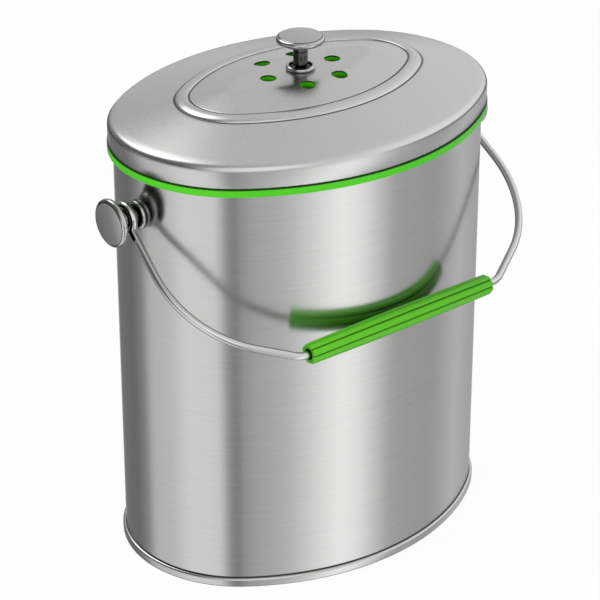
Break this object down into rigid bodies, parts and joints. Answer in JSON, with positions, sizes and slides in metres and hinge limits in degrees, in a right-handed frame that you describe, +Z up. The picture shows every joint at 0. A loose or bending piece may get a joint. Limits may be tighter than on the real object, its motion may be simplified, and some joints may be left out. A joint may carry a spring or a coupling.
{
  "type": "compost caddy",
  "caption": "Oval stainless steel compost caddy with a domed, vented lift-off lid, a green lid liner, side pivot studs and a swinging bail with a plastic grip.",
  "frame": {"origin": "on the floor, in the middle of the foot rim's flat underside, below the centre of the oval body", "axes": "+Z up, +X along the oval's long axis towards the right pivot stud, +Y towards the back; the bail hangs on the -Y side at rest"},
  "size_m": [0.244, 0.1674, 0.2727],
  "materials": {
    "body_steel": "brushed round the body, satin",
    "lid_steel": "fine satin",
    "polished_steel": "turned and polished",
    "wire_steel": "polished wire",
    "zinc_steel": "plain plated fixings",
    "liner_plastic": "moulded, soft sheen",
    "grip_plastic": "moulded, matte",
    "carbon_felt": "charcoal felt"
  },
  "bodies": {
    "body": {"body_wall": "body_steel", "base_pan": "body_steel", "stud_left": "polished_steel", "stud_right": "polished_steel", "stud_collar_left": "polished_steel", "stud_collar_right": "polished_steel", "stud_washer_left": "zinc_steel", "stud_washer_right": "zinc_steel", "stud_screw_left": "zinc_steel", "stud_screw_right": "zinc_steel"},
    "lid": {"lid_shell": "lid_steel", "lid_liner": "liner_plastic", "lid_knob": "polished_steel", "knob_collar": "polished_steel", "knob_screw": "zinc_steel", "knob_washer": "zinc_steel", "filter_pad": "carbon_felt"},
    "filter_cover": {"filter_cover": "liner_plastic"},
    "bail": {"bail_wire": "wire_steel"},
    "grip": {"bail_grip": "grip_plastic"}
  },
  "joints": [
    {"name": "lid_lift", "type": "slide", "parent": "body", "child": "lid", "axis": [0, 0, 1], "range_m": [0, 0.25]},
    {"name": "bail_swing", "type": "hinge", "parent": "body", "child": "bail", "pos_m": [0, 0, 0.204], "axis": [-1, 0, 0], "range_deg": [0, 250.6]},
    {"name": "grip_spin", "type": "hinge", "parent": "bail", "child": "grip", "pos_m": [-0.0015, -0.0824, 0.14559], "axis": [1, 0, 0], "continuous": true},
    {"name": "filter_cover_twist", "type": "hinge", "parent": "lid", "child": "filter_cover", "pos_m": [0, 0, 0.2394], "axis": [0, 0, 1], "range_deg": [0, 55]}
  ]
}
